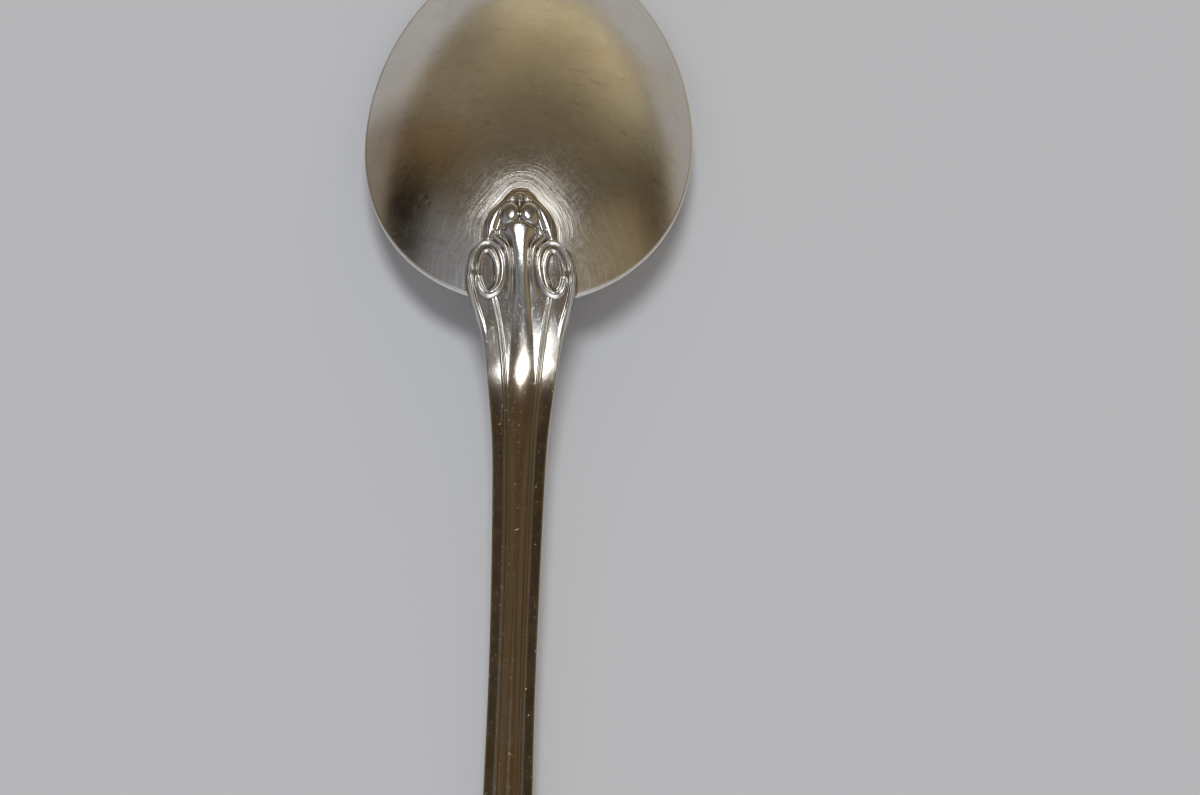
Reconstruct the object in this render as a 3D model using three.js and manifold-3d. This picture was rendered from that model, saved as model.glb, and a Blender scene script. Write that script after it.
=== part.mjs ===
// A long-handled bar spoon, lying face down with the back of its bowl up.
//
// Millimetres. +Z is up, and +Y points from the handle to the toe of the bowl. The spoon is
// the same on both sides of X = 0. The origin is on the table, under the middle of its length.
// "along" is always the distance down the spoon from a line across the bowl, 2 mm in from its toe.
//
// The spoon is made of three pieces. The bowl is one hollow sheet. The handle is a fluted stem
// whose heel, a palmette between two scrolls, laps over the back of the bowl. A film of solder
// fills the lap.

import * as THREE from 'three';
import { mergeVertices } from 'three/addons/utils/BufferGeometryUtils.js';
import Module from 'manifold-3d';

const wasm = await Module();
wasm.setup();

// ---- Driving dimensions ----

const overallLength = 197;
const toeAlong = -2;
const handleEnd = overallLength + toeAlong;

const bowlLength = 48;
const bowlWidth = 31.5;
const bowlCrown = 7.45;         // rise of the back of the bowl above its rim
const bowlFullness = 0.35;      // 0 is a plain parabola, more is rounder near the rim
const bowlEgg = -0.105;         // less than 0 is wider towards the heel
const bowlEnds = 0.04;          // more than 0 is blunter at both ends
const sheetThickness = 1.1;
const rimThickness = 0.65;
const rimLand = 0.06;           // width of the rim's underside, as a share of the radius
const rimRounding = 0.02;       // rounding of the rim's corners, as a share of the radius
const rimRise = 7.6;            // how much higher the rim is at the heel than at the toe
const rimSweep = 1.1;           // 1 is a straight rim in side view, more is a curved one
const toeFlat = 1.8;            // length of the worn flat under the toe
const bowlSegments = 60;
const bowlRings = 11;

const solderClearance = 0.06;   // between the solder and the metal on each side of it
const solderThickness = 0.18;
const solderFillet = 0.12;      // how far the solder shows round the heel

const crestAlong = 36.0;        // where the heel begins on the back of the bowl
const heelEnd = 46.6;           // where the heel leaves the bowl and becomes the stem
const heelSag = 0.027;          // the heel curves across with the bowl: drop per square millimetre
const edgeDrop = 0.45;          // from the top of the stem to the middle of its rounded edge
const stemUndercut = 0.82;      // width of the stem's underside, as a share of its width
const thinnestEdge = 0.3;       // from the middle of the rounded edge to the underside, at least

// Across the stem: a central ridge, then a thread, a flute and the edge, as shares of half the width.
const ridgeEdge = 0.33;
const threadInner = 0.36;
const threadOuter = 0.58;
const fluteOuter = 0.87;
const ridgeHeight = 0.18;
const threadHeight = 0.16;
const fluteDepth = 0.12;

// Each station is [along, half width, height of the back, height of the underside].
// Where the heel lies on the bowl, its underside is buried, and the bowl's own shape cuts it.
const stations = [
  [36.00, 0.40, 12.30, 9.6],
  [36.40, 0.95, 12.40, 9.5],
  [37.00, 1.44, 12.50, 9.4],
  [37.65, 2.05, 12.52, 9.4],
  [38.40, 2.73, 12.47, 9.3],
  [39.00, 3.07, 12.38, 9.2],
  [39.95, 3.29, 12.18, 9.0],
  [41.00, 3.42, 11.90, 8.7],
  [41.50, 3.92, 11.76, 8.5],
  [42.10, 4.56, 11.58, 8.3],
  [42.95, 4.88, 11.30, 8.1],
  [43.85, 5.00, 11.00, 7.9],
  [44.75, 4.95, 10.68, 7.7],
  [46.50, 4.58, 9.98, 7.5],
  [48.30, 3.97, 9.16, 6.4],
  [50.10, 3.60, 8.36, 5.6],
  [51.85, 3.32, 7.66, 5.0],
  [53.65, 3.10, 7.16, 4.62],
  [55.50, 2.90, 6.85, 4.36],
  [58.50, 2.61, 6.52, 4.14],
  [63.60, 2.37, 6.08, 3.80],
  [69.60, 2.24, 5.58, 3.40],
  [82.00, 2.08, 4.62, 2.60],
  [92.60, 2.13, 3.90, 1.96],
  [110.0, 2.38, 3.00, 1.12],
  [128.0, 2.92, 2.35, 0.46],
  [146.0, 3.75, 1.92, 0.00],
  [154.0, 4.20, 1.86, 0.00],
  [166.0, 4.95, 2.18, 0.40],
  [178.0, 5.70, 3.10, 1.40],
  [187.0, 6.00, 4.15, 2.52],
  [191.5, 5.10, 4.75, 3.20],
  [194.0, 3.20, 5.05, 3.62],
  [195.0, 0.60, 5.00, 3.90],
];
const restStart = 146;          // the flat under the handle that the spoon rests on
const restEnd = 154;

// The scrolls are oval, one on each side of the heel: a large turn that ends in a smaller one.
const scrollX = 3.05;
const scrollAlong = 43.8;
const scrollHalfWidth = 1.55;
const scrollHalfLength = 2.35;
const scrollTurns = 1.8;
const scrollShrinkFrom = 0.7;   // turns at which the scroll starts and ends its step inwards
const scrollShrinkTo = 1.05;
const eyeWidth = 0.52;          // size of the inner turn, as a share of the outer one
const eyeLength = 0.78;
const eyeShift = 0.25;          // the inner turn sits lower than the outer one
const beadRadius = 0.25;
const beadSteps = 48;

// The palmette between the scrolls: [x, along, half width, half length, rise] of each lobe.
const pairedLobes = [
  [0.98, 38.90, 0.93, 1.08, 0.42],
  [0.80, 37.50, 0.36, 0.28, 0.24],
];
const middleLobes = [
  [0, 37.60, 0.26, 0.56, 0.30],
  [0, 41.20, 1.00, 1.75, 0.40],
  [0, 43.20, 0.52, 3.40, 0.30],
];
// The arm runs from beside the lobes round the hollow to the inside of the scroll.
const armPath = [[2.15, 39.6], [2.4, 40.6], [2.2, 41.15], [1.45, 41.8], [1.1, 42.9], [1.05, 44.6]];
const armRadius = 0.2;
const armSteps = 14;
// A flat roll down each side of the palmette, from the crest to the top of the scroll.
const rollPath = [[1.35, 37.75], [2.15, 38.6], [2.6, 39.6], [2.85, 40.6], [3.05, 41.4]];
const rollRadius = 0.36;
const rollSteps = 10;

// ---- Small helpers ----

const yOf = (along) => overallLength / 2 + toeAlong - along;

function smooth(from, to, value) {
  return THREE.MathUtils.smoothstep(value, from, to);
}

// Leaves only shared positions, and drops the triangles that a lathe collapses on its axis.
function weld(geometry) {
  geometry.deleteAttribute('normal');
  geometry.deleteAttribute('uv');
  const merged = mergeVertices(geometry, 1e-5);
  const old = merged.index.array;
  const kept = [];
  for (let i = 0; i < old.length; i += 3) {
    const [a, b, c] = [old[i], old[i + 1], old[i + 2]];
    if (a !== b && b !== c && c !== a) kept.push(a, b, c);
  }
  merged.setIndex(kept);
  return merged;
}

function toSolid(geometry) {
  const welded = weld(geometry);
  return new wasm.Manifold(new wasm.Mesh({
    numProp: 3,
    vertProperties: new Float32Array(welded.attributes.position.array),
    triVerts: new Uint32Array(welded.index.array),
  }));
}

function toGeometry(solid) {
  const mesh = solid.getMesh();
  const geometry = new THREE.BufferGeometry();
  geometry.setAttribute('position', new THREE.BufferAttribute(mesh.vertProperties, 3));
  geometry.setIndex(new THREE.BufferAttribute(mesh.triVerts, 1));
  return geometry;
}

// The largest body of a solid, without the specks that are left where beads cross.
function largestBody(solid) {
  return solid.decompose().reduce((best, body) => (body.volume() > best.volume() ? body : best));
}

// ---- The bowl ----

// Height of the rim's underside: flat at the toe, rising to the heel.
function rimHeight(along) {
  const share = Math.max(0, (along - toeAlong - toeFlat) / (bowlLength - toeFlat));
  return rimRise * share ** rimSweep;
}

// Height above the rim of a crown of the given rise, at a share of the radius.
function crownHeight(rise, radius) {
  return rise * (1 - radius ** 2) * (1 + bowlFullness * radius ** 2);
}

// Moves a lathe of radius 1 onto the bowl's egg-shaped outline and its rising rim.
function fitToBowl(geometry) {
  const position = geometry.attributes.position;
  for (let i = 0; i < position.count; i++) {
    const side = position.getX(i);
    const height = position.getY(i);
    const forward = position.getZ(i);
    const radius = Math.hypot(side, forward);
    const cosine = radius > 0 ? forward / radius : 0;
    const egg = 1 + bowlEgg * cosine + bowlEnds * cosine ** 2;
    const along = toeAlong + bowlLength / 2 * (1 - forward);
    position.setXYZ(i, bowlWidth / 2 * side * egg, yOf(along), rimHeight(along) + height);
  }
  return geometry;
}

// The back of the bowl as a profile from its middle to its rim, raised by a gap all over.
function backProfile(gap) {
  const outward = 1 + gap / (bowlLength / 2);
  const points = [];
  for (let i = 0; i <= bowlRings; i++) {
    const radius = Math.sin(i / bowlRings * Math.PI / 2) * (1 - rimRounding);
    const height = rimThickness + crownHeight(bowlCrown, radius / (1 - rimRounding)) + gap;
    points.push(new THREE.Vector2(radius * outward, height));
  }
  return points;
}

function makeBowl() {
  const corner = rimRounding * bowlWidth / 2;
  const points = backProfile(0);
  points.push(new THREE.Vector2(1, rimThickness - corner));
  points.push(new THREE.Vector2(1, corner));
  points.push(new THREE.Vector2(1 - rimRounding, 0));
  const innerRise = bowlCrown + rimThickness - sheetThickness;
  for (let i = bowlRings; i >= 0; i--) {
    const radius = Math.sin(i / bowlRings * Math.PI / 2);
    points.push(new THREE.Vector2(radius * (1 - rimLand), crownHeight(innerRise, radius)));
  }
  return fitToBowl(new THREE.LatheGeometry(points, bowlSegments));
}

// A solid that fills the bowl and everything under it, larger than the bowl by a gap.
function bowlEnvelope(gap) {
  const far = -30;
  const points = backProfile(gap);
  const edge = 1 + gap / (bowlLength / 2);
  points.push(new THREE.Vector2(edge, rimThickness - rimRounding * bowlWidth / 2));
  points.push(new THREE.Vector2(edge, far));
  points.push(new THREE.Vector2(0, far));
  return toSolid(fitToBowl(new THREE.LatheGeometry(points, bowlSegments)));
}

// ---- The handle ----

// One smooth curve for each column of the stations: half width, back and underside.
const stationCurves = [1, 2, 3].map((column) => new THREE.SplineCurve(
  stations.map((station) => new THREE.Vector2(station[0], station[column]))));

// Half width, height of the back and height of the underside at a distance along the spoon.
function sectionAt(along) {
  let low = 0;
  while (low < stations.length - 2 && stations[low + 1][0] < along) low++;
  const span = stations[low + 1][0] - stations[low][0];
  const share = (low + (along - stations[low][0]) / span) / (stations.length - 1);
  const [halfWidth, back, underside] = stationCurves.map((curve) => curve.getPoint(share).y);
  const resting = along >= restStart && along <= restEnd;
  return { halfWidth, back, underside: resting ? 0 : underside };
}

// Height of the threads and flutes across the stem; across is -1 at one edge and 1 at the other.
function threadRelief(across) {
  const a = Math.abs(across);
  const arch = (from, to) => Math.sin((a - from) / (to - from) * Math.PI);
  if (a < ridgeEdge) return ridgeHeight * Math.cos(a / ridgeEdge * Math.PI / 2) ** 2;
  if (a < threadInner) return 0;
  if (a < threadOuter) return threadHeight * arch(threadInner, threadOuter);
  if (a < fluteOuter) return -fluteDepth * arch(threadOuter, fluteOuter);
  return threadHeight * arch(fluteOuter, 1);
}

// Height of the back of the handle, with its threads.
function backHeight(x, along) {
  const section = sectionAt(along);
  const onBowl = 1 - smooth(heelEnd, heelEnd + 5, along);
  const threads = smooth(heelEnd - 0.6, heelEnd + 1.5, along)
    * (1 - smooth(handleEnd - 7, handleEnd - 2, along));
  const across = x / section.halfWidth;
  return section.back - heelSag * x ** 2 * onBowl + threads * threadRelief(across);
}

// Places round the section: columns across the back, a rounded edge, then the underside.
const halfColumns = [0.12, 0.24, 0.36, 0.47, 0.58, 0.72, 0.87, 0.935];
const backColumns = [...halfColumns.map((across) => -across).reverse(), 0, ...halfColumns];
const underColumns = [0.98, 0.6, -0.6, -0.98];
const sectionPoints = [
  ...backColumns.map((across) => ({ across, face: 'back' })),
  { across: 1, face: 'edge' },
  ...underColumns.map((across) => ({ across, face: 'under' })),
  { across: -1, face: 'edge' },
];

// Distances of the sections: close together on the heel and at the end, and wider on the stem.
function sectionPlaces() {
  const places = [];
  for (let along = crestAlong; along < 38.4; along += 0.2) places.push(along);
  for (let along = 38.45; along < heelEnd; along += 0.5) places.push(along);
  for (let along = heelEnd; along < 60; along += 0.9) places.push(along);
  for (let along = 60; along < restStart; along += 4) places.push(along);
  places.push(restStart, restEnd, 158, 162, 166, 170, 174, 178, 181, 184, 187, 189, 191);
  for (let along = 192; along <= handleEnd; along += 0.5) places.push(along);
  return places;
}

function handlePoint(point, along) {
  const section = sectionAt(along);
  if (point.face === 'back') {
    const x = point.across * section.halfWidth;
    return [x, backHeight(x, along)];
  }
  const edgeHeight = backHeight(section.halfWidth, along) - edgeDrop;
  if (point.face === 'edge') return [point.across * section.halfWidth, edgeHeight];
  const narrowing = THREE.MathUtils.lerp(1, stemUndercut, smooth(heelEnd, heelEnd + 6, along));
  const underside = Math.min(section.underside, edgeHeight - thinnestEdge);
  return [point.across * section.halfWidth * narrowing, underside];
}

// The stem and the plain plate of the heel: a closed cylinder bent onto the sections.
function makeStem() {
  const places = sectionPlaces();
  const rows = places.length - 1;
  const columns = sectionPoints.length;
  const geometry = new THREE.CylinderGeometry(1, 1, 1, columns, rows);
  const position = geometry.attributes.position;
  for (let i = 0; i < position.count; i++) {
    const row = Math.round((0.5 - position.getY(i)) * rows);
    const along = places[row];
    if (Math.hypot(position.getX(i), position.getZ(i)) < 0.5) {
      const section = sectionAt(along);
      position.setXYZ(i, 0, yOf(along), (section.back + section.underside) / 2);
      continue;
    }
    const turn = Math.atan2(position.getX(i), position.getZ(i)) / (2 * Math.PI);
    const column = (Math.round(turn * columns) + columns) % columns;
    const [x, z] = handlePoint(sectionPoints[column], along);
    position.setXYZ(i, x, yOf(along), z);
  }
  return toSolid(geometry);
}

// A round bead laid on the heel along a curve of [x, along] points.
function makeBead(curve, radius, steps) {
  const raised = new THREE.CatmullRomCurve3(curve.map(([x, along]) => new THREE.Vector3(
    x, yOf(along), backHeight(x, along))));
  const round = new THREE.Shape();
  round.absarc(0, 0, radius, 0, 2 * Math.PI);
  return toSolid(new THREE.ExtrudeGeometry(round, {
    curveSegments: 4,
    steps,
    bevelEnabled: false,
    extrudePath: raised,
  }));
}

// A smooth oval lobe, half sunk in the heel.
function makeLobe(x, along, halfWidth, halfLength, rise) {
  const geometry = new THREE.SphereGeometry(1, 12, 8);
  geometry.scale(halfWidth, halfLength, rise);
  geometry.translate(x, yOf(along), backHeight(x, along));
  return toSolid(geometry);
}

// The scroll's bead: up the outside, over the top, down the inside and round into its eye.
function scrollPath(side) {
  const points = [];
  const count = 30;
  for (let i = 0; i <= count; i++) {
    const turns = i / count * scrollTurns;
    const angle = turns * 2 * Math.PI;
    const inward = smooth(scrollShrinkFrom, scrollShrinkTo, turns);
    const halfWidth = scrollHalfWidth * THREE.MathUtils.lerp(1, eyeWidth, inward);
    const halfLength = scrollHalfLength * THREE.MathUtils.lerp(1, eyeLength, inward);
    const along = scrollAlong + eyeShift * inward - halfLength * Math.sin(angle);
    points.push([side * (scrollX + halfWidth * Math.cos(angle)), along]);
  }
  return points;
}

function makeHandle() {
  const parts = middleLobes.map((lobe) => makeLobe(...lobe));
  for (const side of [-1, 1]) {
    parts.push(makeBead(scrollPath(side), beadRadius, beadSteps));
    parts.push(makeBead(armPath.map(([x, along]) => [side * x, along]), armRadius, armSteps));
    parts.push(makeBead(rollPath.map(([x, along]) => [side * x, along]), rollRadius, rollSteps));
    for (const [x, ...rest] of pairedLobes) parts.push(makeLobe(side * x, ...rest));
  }
  const handle = parts.reduce((whole, part) => whole.add(part), makeStem());
  return largestBody(handle.subtract(bowlEnvelope(solderThickness + 2 * solderClearance)));
}

// ---- The solder ----

// A thin film that follows the back and the end of the bowl, under the heel's outline.
function makeSolder() {
  const outline = sectionPlaces().filter((along) => along <= heelEnd).map((along) => (
    new THREE.Vector2(sectionAt(along).halfWidth + solderFillet, yOf(along))));
  const start = new THREE.Vector2(0, yOf(crestAlong - solderFillet));
  const mirrored = outline.map((point) => new THREE.Vector2(-point.x, point.y)).reverse();
  const plan = new THREE.Shape([start, ...outline, ...mirrored]);
  const block = new THREE.ExtrudeGeometry(plan, { depth: bowlCrown, bevelEnabled: false });
  block.translate(0, 0, rimRise + solderClearance);
  return toSolid(block)
    .intersect(bowlEnvelope(solderClearance + solderThickness))
    .subtract(bowlEnvelope(solderClearance));
}

// ---- The spoon ----

function plate(color, roughness) {
  return new THREE.MeshStandardMaterial({ color, roughness, metalness: 1 });
}

function addPiece(parent, name, geometry, material) {
  geometry.computeVertexNormals();
  const mesh = new THREE.Mesh(geometry, material);
  mesh.name = name;
  parent.add(mesh);
}

const spoon = new THREE.Group();
addPiece(spoon, 'bowl', weld(makeBowl()), plate(0xb9b2a4, 0.32));
addPiece(spoon, 'handle', toGeometry(makeHandle()), plate(0xb4ada0, 0.28));
addPiece(spoon, 'solder_seam', toGeometry(makeSolder()), plate(0x7a6246, 0.5));

export default spoon;
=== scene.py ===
"""A worn silver-plated bar spoon, lying face down on a plain pale floor.

The bowl, the handle and the solder between them are rebuilt at full fineness on the CAD model's
sizes. Lengths in the tables below are in millimetres, and "along" is the distance down the spoon
from a line across the bowl, 2 mm in from its toe. The meshes are made in metres in the CAD model's
frame.
"""

import math

import bpy
import numpy as np
from mathutils import Matrix, Vector


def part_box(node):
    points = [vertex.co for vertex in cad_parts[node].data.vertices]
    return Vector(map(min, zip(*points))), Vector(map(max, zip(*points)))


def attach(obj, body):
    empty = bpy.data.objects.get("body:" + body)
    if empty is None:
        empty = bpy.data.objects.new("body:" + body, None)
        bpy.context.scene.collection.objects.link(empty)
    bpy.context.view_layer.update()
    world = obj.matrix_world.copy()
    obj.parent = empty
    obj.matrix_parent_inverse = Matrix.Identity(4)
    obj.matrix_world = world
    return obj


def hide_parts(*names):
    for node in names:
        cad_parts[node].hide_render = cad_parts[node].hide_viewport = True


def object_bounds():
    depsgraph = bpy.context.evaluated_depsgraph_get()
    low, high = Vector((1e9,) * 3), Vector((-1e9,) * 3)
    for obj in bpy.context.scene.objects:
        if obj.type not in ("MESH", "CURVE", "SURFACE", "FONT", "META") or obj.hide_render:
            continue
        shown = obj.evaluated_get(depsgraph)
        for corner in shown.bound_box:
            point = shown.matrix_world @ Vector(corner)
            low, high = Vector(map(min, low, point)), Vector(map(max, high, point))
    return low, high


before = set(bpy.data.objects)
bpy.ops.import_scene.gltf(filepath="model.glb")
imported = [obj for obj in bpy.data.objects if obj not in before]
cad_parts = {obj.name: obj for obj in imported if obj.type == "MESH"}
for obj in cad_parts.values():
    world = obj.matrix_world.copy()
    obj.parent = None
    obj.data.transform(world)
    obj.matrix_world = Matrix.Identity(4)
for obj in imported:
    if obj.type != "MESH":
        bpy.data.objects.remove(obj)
cad_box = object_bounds()

MM = 0.001
bowl_low, bowl_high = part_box("bowl")
handle_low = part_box("handle")[0]
TOE = -2.0                                  # where along is at the toe
DATUM_Y = bowl_high.y + TOE * MM            # where along is 0
HANDLE_END = (DATUM_Y - handle_low.y) / MM
BOWL_LENGTH = (bowl_high.y - bowl_low.y) / MM

# ---- The bowl's shape ----
BOWL_CROWN = 7.55           # rise of the back above the rim
BOWL_FULLNESS = 0.35        # 0 is a plain parabola, more is rounder near the rim
BOWL_EGG = -0.105           # less than 0 is wider towards the heel
BOWL_ENDS = 0.04            # more than 0 is blunter at both ends
WIDEST = 1.006              # the outline's greatest width, for a BOWL_WIDTH of 1
BOWL_WIDTH = (bowl_high.x - bowl_low.x) / MM / WIDEST
SHEET = 1.1                 # thickness in the middle
RIM_THICKNESS = 0.55
INNER_CROWN = BOWL_CROWN + RIM_THICKNESS - SHEET
RIM_LAND = 0.06             # width of the rim's underside, as a share of the radius
RIM_ROUNDING = 0.011        # how far in the rim's rounded edge begins, as a share of the radius
RIM_RISE = 7.6              # from the toe to the heel
RIM_SWEEP = 1.1
TOE_FLAT = 1.8              # length of the flat that the toe rests on
BOWL_SEGMENTS = 224
BACK_RINGS, RIM_STEPS, INSIDE_RINGS = 56, 11, 48
FAR_FROM_HEEL = 20.0        # the gap given to places on the inside of the bowl

# ---- The handle's shape ----
CREST = 36.0                # where the heel begins on the back of the bowl
HEEL_END = 46.6             # where the heel leaves the bowl and becomes the stem
HEEL_SAG = 0.027            # the heel's drop across the bowl, per square millimetre
HEEL_CROWN = 0.12           # a further drop from the middle of the heel to its sides
STEM_CROWN = 0.20           # drop from the middle of the stem to its edges
STEM_UNDERCUT = 0.82        # width of the stem's underside, as a share of its back's
REST_START, REST_END = 146.0, 154.0     # the flat that the handle rests on
BACK_COLUMNS, UNDER_COLUMNS, SIDE_COLUMNS = 180, 40, 6
LEDGE_DEPTH = 0.26
BURIED = 0.3                # how far the heel's underside sits inside the bowl's sheet
CLEAR_OF_BOWL = 0.10        # the least that the heel stands above the bowl

# Each station is along, half width, height of the back, height of the underside.
STATIONS = np.array([
    [36.00, 0.02, 12.22, 9.6],
    [36.04, 0.36, 12.24, 9.6],
    [36.16, 0.66, 12.30, 9.6],
    [36.50, 1.04, 12.42, 9.5],
    [37.00, 1.44, 12.50, 9.4],
    [37.65, 2.05, 12.52, 9.4],
    [38.40, 2.73, 12.47, 9.3],
    [39.00, 3.07, 12.38, 9.2],
    [39.95, 3.29, 12.18, 9.0],
    [41.00, 3.42, 11.90, 8.7],
    [41.50, 3.92, 11.76, 8.5],
    [42.10, 4.56, 11.60, 8.3],
    [42.95, 4.88, 11.31, 8.1],
    [43.85, 5.00, 10.98, 7.9],
    [44.75, 4.95, 10.61, 7.7],
    [46.50, 4.58, 9.86, 7.5],
    [48.30, 3.97, 9.06, 6.4],
    [50.10, 3.60, 8.30, 5.6],
    [51.85, 3.32, 7.64, 5.0],
    [53.65, 3.10, 7.16, 4.62],
    [55.50, 2.90, 6.85, 4.36],
    [58.50, 2.61, 6.52, 4.14],
    [63.60, 2.37, 6.08, 3.80],
    [69.60, 2.24, 5.58, 3.40],
    [82.00, 2.08, 4.62, 2.60],
    [92.60, 2.13, 3.90, 1.96],
    [110.0, 2.38, 3.00, 1.12],
    [128.0, 2.92, 2.35, 0.46],
    [146.0, 3.75, 1.92, 0.00],
    [154.0, 4.20, 1.86, 0.00],
    [166.0, 4.95, 2.18, 0.40],
    [178.0, 5.70, 3.10, 1.40],
    [187.0, 6.00, 4.15, 2.52],
    [191.5, 5.10, 4.75, 3.20],
    [194.0, 3.20, 5.05, 3.62],
    [195.0, 0.30, 5.00, 3.90],
])
# The heel was soldered on a little crooked: sideways shift at places along the spoon.
LEAN = np.array([[36.0, -0.36], [40.0, -0.34], [46.0, -0.02], [55.0, 0.08], [75.0, 0.0], [95.0, -0.16],
                 [130.0, 0.0], [195.0, 0.0]])


# ======== Small helpers ========

def smooth(start, end, value):
    """0 before start and 1 after end, with a smooth rise between them."""
    t = np.clip((value - start) / (end - start), 0.0, 1.0)
    return t * t * (3 - 2 * t)


def mix(a, b, share):
    return a + (b - a) * share


def bends(places, values):
    """How much the smoothest curve through the values bends at each place."""
    step = np.diff(places)
    rise = np.diff(values) / step
    matrix = np.eye(len(places))
    wanted = np.zeros(len(places))
    for i in range(1, len(places) - 1):
        matrix[i, i - 1:i + 2] = step[i - 1], 2 * (step[i - 1] + step[i]), step[i]
        wanted[i] = 6 * (rise[i] - rise[i - 1])
    return np.linalg.solve(matrix, wanted)


def spline(places, values, at):
    """The smoothest curve through the values, read at the places in at."""
    bend = bends(places, values)
    i = np.clip(np.searchsorted(places, at, side="right") - 1, 0, len(places) - 2)
    step = places[i + 1] - places[i]
    b = np.clip((at - places[i]) / step, 0.0, 1.0)
    a = 1 - b
    return (a * values[i] + b * values[i + 1]
            + ((a ** 3 - a) * bend[i] + (b ** 3 - b) * bend[i + 1]) * step ** 2 / 6)


def to_row(points):
    """Points of (x, along, z) in millimetres, as points of the row frame in metres."""
    points = np.asarray(points, float)
    return np.stack([points[..., 0] * MM, DATUM_Y - points[..., 1] * MM, points[..., 2] * MM], -1)


def make_piece(name, points, faces, attributes=None):
    """A smooth mesh that rides on the spoon. Each attribute is one number for each point."""
    mesh = bpy.data.meshes.new(name)
    mesh.from_pydata(to_row(points).tolist(), [], faces)
    mesh.shade_smooth()
    for key, values in (attributes or {}).items():
        layer = mesh.attributes.new(key, "FLOAT", "POINT")
        layer.data.foreach_set("value", np.asarray(values, np.float32))
    mesh.validate()
    piece = bpy.data.objects.new(name, mesh)
    bpy.context.scene.collection.objects.link(piece)
    return piece


def ring_faces(rows, columns, flip=False):
    """Quads between rows of points that each close on themselves."""
    faces = []
    for row in range(rows - 1):
        for column in range(columns):
            after = (column + 1) % columns
            a, b = row * columns + column, row * columns + after
            c, d = b + columns, a + columns
            faces.append((a, d, c, b) if flip else (a, b, c, d))
    return faces


# ======== The bowl ========

def egg(cosine):
    """The bowl's width at an angle from the toe, against an ellipse's."""
    return 1 + BOWL_EGG * cosine + BOWL_ENDS * cosine ** 2


def rim_height(along):
    share = np.clip((along - TOE - TOE_FLAT) / (BOWL_LENGTH - TOE_FLAT), 0.0, None)
    return RIM_RISE * share ** RIM_SWEEP


def crown_height(rise, radius):
    return rise * (1 - radius ** 2) * (1 + BOWL_FULLNESS * radius ** 2)


def bowl_radius(x, along):
    """How far out a place is on the bowl: 0 in its middle and 1 at its rim."""
    forward = 1 - 2 * (along - TOE) / BOWL_LENGTH
    side = x / (BOWL_WIDTH / 2)
    for _ in range(6):
        radius = np.hypot(forward, side) + 1e-9
        cosine = forward / radius
        side = x / (BOWL_WIDTH / 2) / egg(cosine)
    return np.hypot(forward, side)


def bowl_back(x, along):
    """Height of the back of the bowl."""
    radius = np.minimum(bowl_radius(x, along) / (1 - RIM_ROUNDING), 1)
    return rim_height(along) + RIM_THICKNESS + crown_height(BOWL_CROWN, radius)


def bowl_profile():
    """(radius, height above the rim's plane) from the middle of the back round to the inside."""
    outer = np.sin(np.linspace(0, math.pi / 2, BACK_RINGS))
    points = [(r * (1 - RIM_ROUNDING), RIM_THICKNESS + crown_height(BOWL_CROWN, r)) for r in outer]
    for turn in np.linspace(0, math.pi, RIM_STEPS)[1:-1]:
        bulge = math.sin(turn) ** 0.7
        height = RIM_THICKNESS / 2 * (1 + math.copysign(abs(math.cos(turn)) ** 0.7, math.cos(turn)))
        points.append((1 - RIM_ROUNDING * (1 - bulge), height))
    points.append((1 - RIM_ROUNDING, 0.0))
    for r in np.sin(np.linspace(math.pi / 2, 0, INSIDE_RINGS)):
        points.append((r * (1 - RIM_LAND), crown_height(INNER_CROWN, r)))
    return np.array(points)


def make_bowl():
    profile = bowl_profile()[1:-1]
    angle = np.linspace(0, 2 * math.pi, BOWL_SEGMENTS, endpoint=False)
    cosine = np.cos(angle)
    radius, height = profile[:, :1], profile[:, 1:]
    x = BOWL_WIDTH / 2 * radius * np.sin(angle) * egg(cosine)
    along = TOE + BOWL_LENGTH / 2 * (1 - radius * cosine)
    z = rim_height(along) + height
    points = np.stack([x, along, z], -1).reshape(-1, 3)
    middle = TOE + BOWL_LENGTH / 2
    lift = rim_height(middle)
    top = [0, middle, lift + RIM_THICKNESS + BOWL_CROWN]
    under = [0, middle, lift + INNER_CROWN]
    points = np.vstack([points, top, under])
    faces = ring_faces(len(profile), BOWL_SEGMENTS, flip=True)
    top_index, under_index = len(points) - 2, len(points) - 1
    last = (len(profile) - 1) * BOWL_SEGMENTS
    for i in range(BOWL_SEGMENTS):
        after = (i + 1) % BOWL_SEGMENTS
        faces.append((top_index, i, after))
        faces.append((under_index, last + after, last + i))
    is_back = np.repeat(np.arange(len(profile)) < BACK_RINGS - 1, BOWL_SEGMENTS)
    is_back = np.append(is_back, [True, False])
    across = points[:, 0] - lean(points[:, 1])
    gap = np.where(is_back, heel_gap(across, points[:, 1]), FAR_FROM_HEEL)
    on_rim = (profile[:, 0] > 1 - RIM_ROUNDING) & (profile[:, 1] < RIM_THICKNESS)
    is_rim = np.repeat(on_rim, BOWL_SEGMENTS)
    is_rim = np.append(is_rim, [False, False])
    return make_piece("bowl_shell", points, faces, {"heel_gap": gap, "rim": is_rim})


# ======== The handle ========

def section(along):
    """Half width, height of the back and height of the underside at places along the spoon."""
    half_width, back, underside = (
        spline(STATIONS[:, 0], STATIONS[:, column], along) for column in (1, 2, 3))
    resting = (along >= REST_START) & (along <= REST_END)
    return np.maximum(half_width, 0.01), back, np.where(resting, 0.0, underside)


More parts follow.
